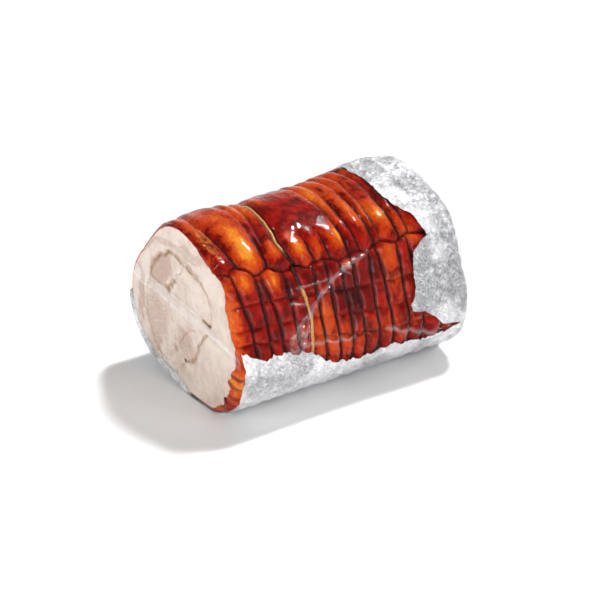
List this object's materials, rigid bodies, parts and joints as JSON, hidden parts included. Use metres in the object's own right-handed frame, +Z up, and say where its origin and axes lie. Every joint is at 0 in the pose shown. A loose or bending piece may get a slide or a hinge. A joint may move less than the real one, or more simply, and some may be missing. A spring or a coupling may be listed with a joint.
{
  "type": "porchetta",
  "caption": "Rolled pork roast with glossy netted rind and a flat cut face, part wrapped in torn foil and sealed in clear film.",
  "frame": {"origin": "middle of the whole pack's footprint, on the surface it rests on", "axes": "+X along the roll from the cut face to the foil-wrapped end, +Z up"},
  "size_m": [0.2556, 0.1904, 0.1603],
  "materials": {
    "roast": "baked rind, deep red to orange brown and greasy gloss; pale pink cooked meat with herb swirls on the cut face",
    "netting": "twisted elastic twine, golden to dark brown where it is soaked and baked",
    "foil": "finely crinkled bright aluminium foil",
    "film": "clear glossy vacuum film with wrinkles and a flat seal"
  },
  "bodies": {
    "root": {"roast": "roast", "netting": "netting", "foil_wrap": "foil", "vacuum_bag": "film"}
  },
  "joints": []
}
